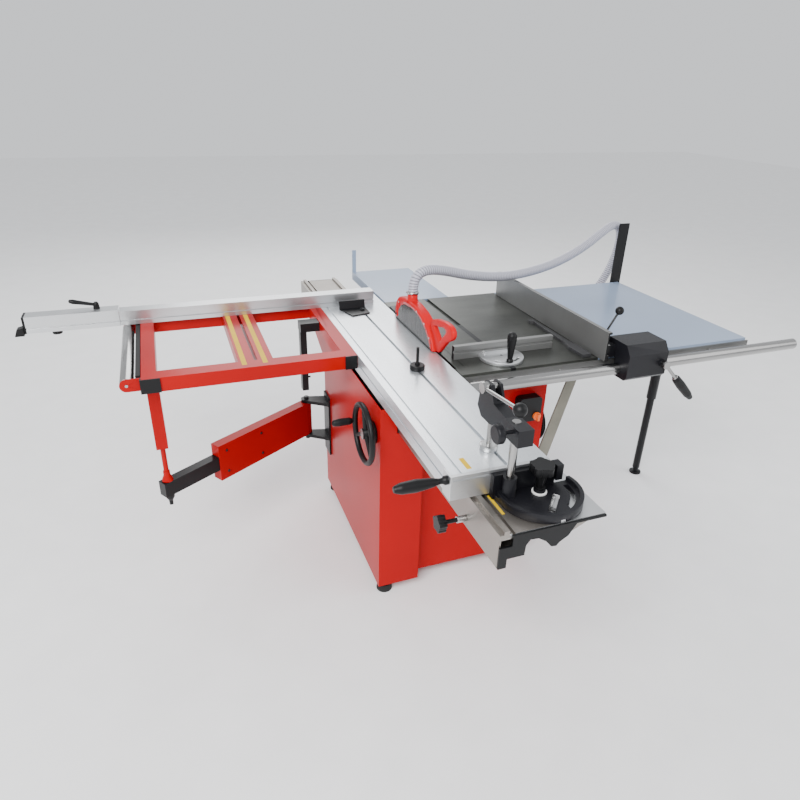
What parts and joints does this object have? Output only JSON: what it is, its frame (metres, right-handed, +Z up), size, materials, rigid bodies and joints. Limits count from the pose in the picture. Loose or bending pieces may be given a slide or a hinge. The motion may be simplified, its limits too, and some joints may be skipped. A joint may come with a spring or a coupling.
{
  "type": "panel saw",
  "caption": "Sliding-table panel saw with a red cabinet, long carriage on a base rail, outrigger with crosscut fence, rip fence on a round bar, hooded blade guard and dust hose.",
  "frame": {"origin": "on the floor, at the centre of the machine's footprint without its hose", "axes": "+Z up, +Y the feed direction away from the operator, +X the operator's right"},
  "size_m": [2.898, 2.229, 1.1654],
  "materials": {
    "red_paint": "gloss",
    "black_paint": "satin",
    "grey_paint": "satin",
    "ground_iron": "ground",
    "anodised": "satin",
    "cast_alloy": "cast",
    "chromed": "polished",
    "steel": "brushed",
    "black_plastic": "moulded",
    "red_plastic": "moulded",
    "switch_red": "moulded",
    "rubber": "moulded",
    "clear_hose": "flexible",
    "dark_iron": "as cast",
    "stick_plastic": "moulded"
  },
  "bodies": {
    "frame": {"cabinet_shell": "red_paint", "cabinet_feet": "rubber", "main_table": "ground_iron", "table_insert": "anodised", "side_extension": "grey_paint", "rear_extension": "grey_paint", "extension_brace": "grey_paint", "extension_leg": "black_paint", "rip_rail": "chromed", "guard_shoe": "black_paint", "base_rail": "anodised", "base_rail_caps": "black_plastic", "switch_box": "black_plastic", "arm_bracket": "black_paint", "hose_post": "black_paint", "dust_hose": "clear_hose", "trunnions": "dark_iron", "push_stick": "stick_plastic"},
    "rail_lock_knob": {"rail_lock_knob": "black_plastic"},
    "switch_dial": {"switch_dial": "switch_red"},
    "swing_arm": {"arm_outer": "red_paint"},
    "arm_slide": {"arm_inner": "black_paint"},
    "tilt_carrier": {"tilt_carrier": "dark_iron"},
    "rise_carrier": {"rise_carrier": "dark_iron", "motor": "cast_alloy", "drive_belt": "rubber", "riving_knife": "steel"},
    "arbor": {"arbor": "steel", "saw_blade": "steel"},
    "motor_pulley": {"motor_pulley": "steel"},
    "blade_guard": {"blade_guard": "red_plastic"},
    "tilt_handwheel": {"tilt_handwheel": "black_plastic"},
    "rise_handwheel": {"rise_handwheel": "black_plastic"},
    "carriage": {"carriage": "anodised", "carriage_end_bars": "anodised", "carriage_handle": "black_plastic", "quadrant_plate": "black_paint", "clamp_post": "chromed", "outrigger_frame": "red_paint", "outrigger_caps": "black_plastic", "outrigger_leg": "red_paint", "outrigger_clamp": "black_paint"},
    "edging_shoe": {"edging_shoe": "black_paint"},
    "slot_knob": {"slot_knob": "black_plastic"},
    "quadrant_knob": {"quadrant_knob": "black_plastic"},
    "clamp_arm": {"clamp_arm": "black_paint"},
    "clamp_lever": {"clamp_lever": "chromed"},
    "clamp_spindle": {"clamp_spindle": "chromed"},
    "outrigger_roller": {"outrigger_roller": "chromed"},
    "crosscut_fence": {"crosscut_fence": "anodised"},
    "fence_extension": {"fence_extension": "anodised", "extension_stop": "black_plastic"},
    "fence_lever": {"fence_lever": "black_plastic"},
    "rip_fence_head": {"rip_fence_head": "black_paint"},
    "rip_fence_plate": {"rip_fence_plate": "anodised"},
    "rip_clamp_lever": {"rip_clamp_lever": "black_plastic"},
    "rip_ball_lever": {"rip_ball_lever": "chromed"},
    "mitre_bar": {"mitre_bar": "steel"},
    "mitre_fence": {"mitre_fence": "anodised"},
    "mitre_handle": {"mitre_handle": "black_plastic"}
  },
  "joints": [
    {"name": "lock_knob_turn", "type": "hinge", "parent": "frame", "child": "rail_lock_knob", "pos_m": [-0.234, -0.9295, 0.716], "axis": [-1, 0, 0], "continuous": true},
    {"name": "main_switch", "type": "hinge", "parent": "frame", "child": "switch_dial", "pos_m": [0.303, -0.4025, 0.67], "axis": [0, 1, 0], "range_deg": [0, 90]},
    {"name": "arm_swing", "type": "hinge", "parent": "frame", "child": "swing_arm", "pos_m": [-0.386, 0.3585, 0.39], "axis": [0, 0, 1], "range_deg": [-32, 32]},
    {"name": "arm_extend", "type": "slide", "parent": "swing_arm", "child": "arm_slide", "axis": [-0.8424, -0.5388, 0], "range_m": [-0.1, 0.28]},
    {"name": "blade_tilt", "type": "hinge", "parent": "frame", "child": "tilt_carrier", "pos_m": [-0.005, -0.9415, 0.87], "axis": [0, 1, 0], "range_deg": [-45, 0]},
    {"name": "blade_rise", "type": "slide", "parent": "tilt_carrier", "child": "rise_carrier", "axis": [0, 0, 1], "range_m": [0, 0.09]},
    {"name": "arbor_spin", "type": "hinge", "parent": "rise_carrier", "child": "arbor", "pos_m": [-0.005, 0.0185, 0.695], "axis": [1, 0, 0], "continuous": true},
    {"name": "motor_spin", "type": "hinge", "parent": "rise_carrier", "child": "motor_pulley", "pos_m": [-0.005, -0.1715, 0.52], "axis": [1, 0, 0], "continuous": true},
    {"name": "guard_lift", "type": "hinge", "parent": "frame", "child": "blade_guard", "pos_m": [-0.006, 0.1985, 0.894], "axis": [-1, 0, 0], "range_deg": [0, 25], "deforming": ["dust_hose"]},
    {"name": "tilt_wheel_turn", "type": "hinge", "parent": "frame", "child": "tilt_handwheel", "pos_m": [-0.299, -0.3455, 0.674], "axis": [1, 0, 0], "range_deg": [-1900, 1900]},
    {"name": "rise_wheel_turn", "type": "hinge", "parent": "frame", "child": "rise_handwheel", "pos_m": [0.358, -0.2515, 0.56], "axis": [-1, 0, 0], "range_deg": [-8200, 8200]},
    {"name": "carriage_slide", "type": "slide", "parent": "frame", "child": "carriage", "axis": [0, 1, 0], "range_m": [-0.42, 0.45]},
    {"name": "shoe_slide", "type": "slide", "parent": "carriage", "child": "edging_shoe", "axis": [0, 1, 0], "range_m": [-0.45, 0.03]},
    {"name": "knob_slide", "type": "slide", "parent": "carriage", "child": "slot_knob", "axis": [0, 1, 0], "range_m": [-0.45, 0.4]},
    {"name": "quadrant_knob_turn", "type": "hinge", "parent": "carriage", "child": "quadrant_knob", "pos_m": [-0.063, -0.9975, 0.83], "axis": [0, 0, 1], "continuous": true},
    {"name": "clamp_cam", "type": "hinge", "parent": "clamp_arm", "child": "clamp_lever", "pos_m": [-0.143, -0.8545, 1.056], "axis": [1, 0, 0], "range_deg": [-30, 10]},
    {"name": "clamp_press", "type": "slide", "parent": "clamp_arm", "child": "clamp_spindle", "axis": [0, 0, 1], "range_m": [0, 0.02]},
    {"name": "roller_spin", "type": "hinge", "parent": "carriage", "child": "outrigger_roller", "pos_m": [-1.061, -0.1025, 0.846], "axis": [0, 1, 0], "continuous": true},
    {"name": "fence_swivel", "type": "hinge", "parent": "carriage", "child": "crosscut_fence", "pos_m": [-0.315, 0.4645, 0.87], "axis": [0, 0, 1], "range_deg": [-8, 30]},
    {"name": "fence_extend", "type": "slide", "parent": "crosscut_fence", "child": "fence_extension", "axis": [-1, 0, 0], "range_m": [0, 0.35]},
    {"name": "fence_lever_turn", "type": "hinge", "parent": "fence_extension", "child": "fence_lever", "pos_m": [-1.163, 0.4645, 0.933], "axis": [0, 0, 1], "continuous": true},
    {"name": "rip_head_slide", "type": "slide", "parent": "frame", "child": "rip_fence_head", "axis": [1, 0, 0], "range_m": [0, 0.45]},
    {"name": "rip_plate_slide", "type": "slide", "parent": "rip_fence_head", "child": "rip_fence_plate", "axis": [0, 1, 0], "range_m": [-0.15, 0.02]},
    {"name": "rip_clamp_turn", "type": "hinge", "parent": "rip_fence_head", "child": "rip_clamp_lever", "pos_m": [0.739, -0.5095, 0.865], "axis": [0, 1, 0], "range_deg": [-45, 45]},
    {"name": "rip_lock_turn", "type": "hinge", "parent": "rip_fence_head", "child": "rip_ball_lever", "pos_m": [0.569, -0.3615, 0.92], "axis": [0, 0, 1], "range_deg": [-15, 60]},
    {"name": "gauge_slide", "type": "slide", "parent": "frame", "child": "mitre_bar", "axis": [0, 1, 0], "range_m": [0, 0.36]},
    {"name": "gauge_swivel", "type": "hinge", "parent": "mitre_bar", "child": "mitre_fence", "pos_m": [0.191, -0.3015, 0.87], "axis": [0, 0, 1], "range_deg": [-45, 45]},
    {"name": "gauge_handle_turn", "type": "hinge", "parent": "mitre_bar", "child": "mitre_handle", "pos_m": [0.191, -0.3635, 0.882], "axis": [0, 0, 1], "continuous": true},
    {"name": "clamp_height", "type": "slide", "parent": "carriage", "child": "clamp_arm", "axis": [0, 0, 1], "range_m": [0, 0.02]}
  ],
  "couplings": [
    {"joint": "arm_swing", "follows": "carriage_slide", "rad_per_m": -1.1},
    {"joint": "tilt_wheel_turn", "follows": "blade_tilt", "ratio": 40},
    {"joint": "rise_wheel_turn", "follows": "blade_rise", "rad_per_m": 1570.8},
    {"joint": "motor_spin", "follows": "arbor_spin", "ratio": 0.71739}
  ]
}
